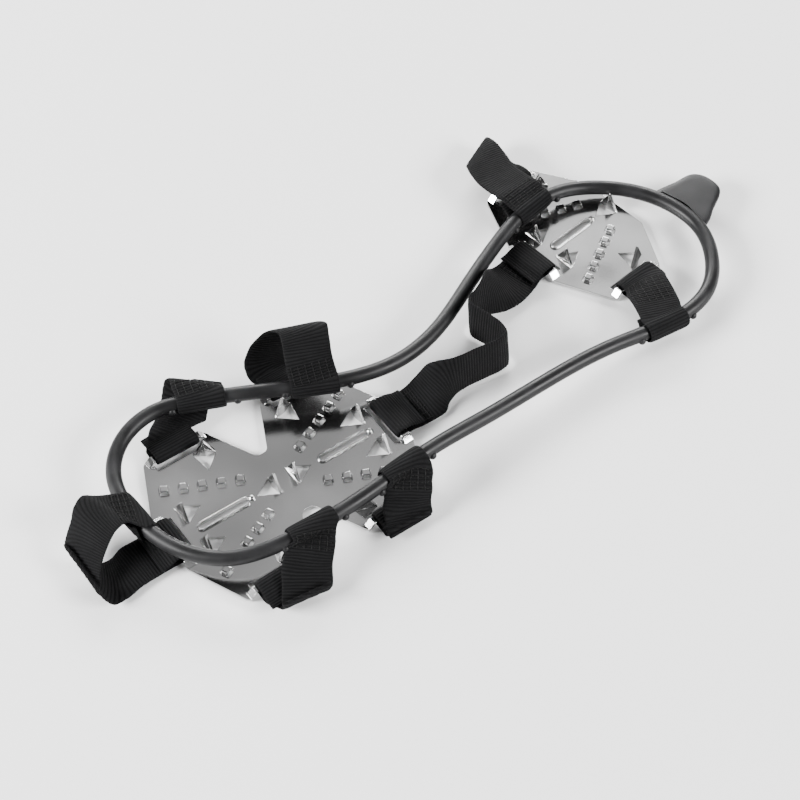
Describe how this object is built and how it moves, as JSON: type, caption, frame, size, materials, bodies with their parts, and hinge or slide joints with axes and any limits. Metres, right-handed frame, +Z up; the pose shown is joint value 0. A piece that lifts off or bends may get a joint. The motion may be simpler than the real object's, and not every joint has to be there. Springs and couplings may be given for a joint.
{
  "type": "microspikes",
  "caption": "Shoe-shaped rubber ring with a pull tab, carrying spiked stamped steel plates for the forefoot and heel on sewn webbing straps.",
  "frame": {"origin": "middle of the sole side of the forefoot plate", "axes": "+X from toe to heel, +Z up with the teeth pointing up"},
  "size_m": [0.341, 0.1612, 0.0328],
  "materials": {
    "steel": "bright polished stainless sheet",
    "rubber": "smooth satin moulded rubber",
    "webbing": "ribbed woven nylon webbing",
    "thread": "sewing thread"
  },
  "bodies": {
    "forefoot_half": {"forefoot_plate": "steel", "ring_front": "rubber", "toe_strap": "webbing", "front_strap_left": "webbing", "rear_strap_left": "webbing", "front_strap_right": "webbing", "rear_strap_right": "webbing", "connecting_strap_front": "webbing", "toe_stitching": "thread", "front_stitching_left": "thread", "rear_stitching_left": "thread", "front_stitching_right": "thread", "rear_stitching_right": "thread", "connecting_stitching_front": "thread"},
    "heel_half": {"heel_plate": "steel", "ring_rear": "rubber", "heel_strap_left": "webbing", "heel_strap_right": "webbing", "connecting_strap_rear": "webbing", "heel_stitching_left": "thread", "heel_stitching_right": "thread", "connecting_stitching_rear": "thread"},
    "tab": {"pull_tab": "rubber"}
  },
  "joints": [
    {"name": "heel_fold", "type": "hinge", "parent": "forefoot_half", "child": "heel_half", "pos_m": [0.092, 0, 0.022], "axis": [0, -1, 0], "range_deg": [-25, 150], "stiffness_Nm_per_rad": 0.05},
    {"name": "pull_tab_flex", "type": "hinge", "parent": "heel_half", "child": "tab", "pos_m": [0.224, 0.0174, 0.0068], "axis": [0, -1, 0], "range_deg": [-50, 60], "stiffness_Nm_per_rad": 0.03}
  ]
}
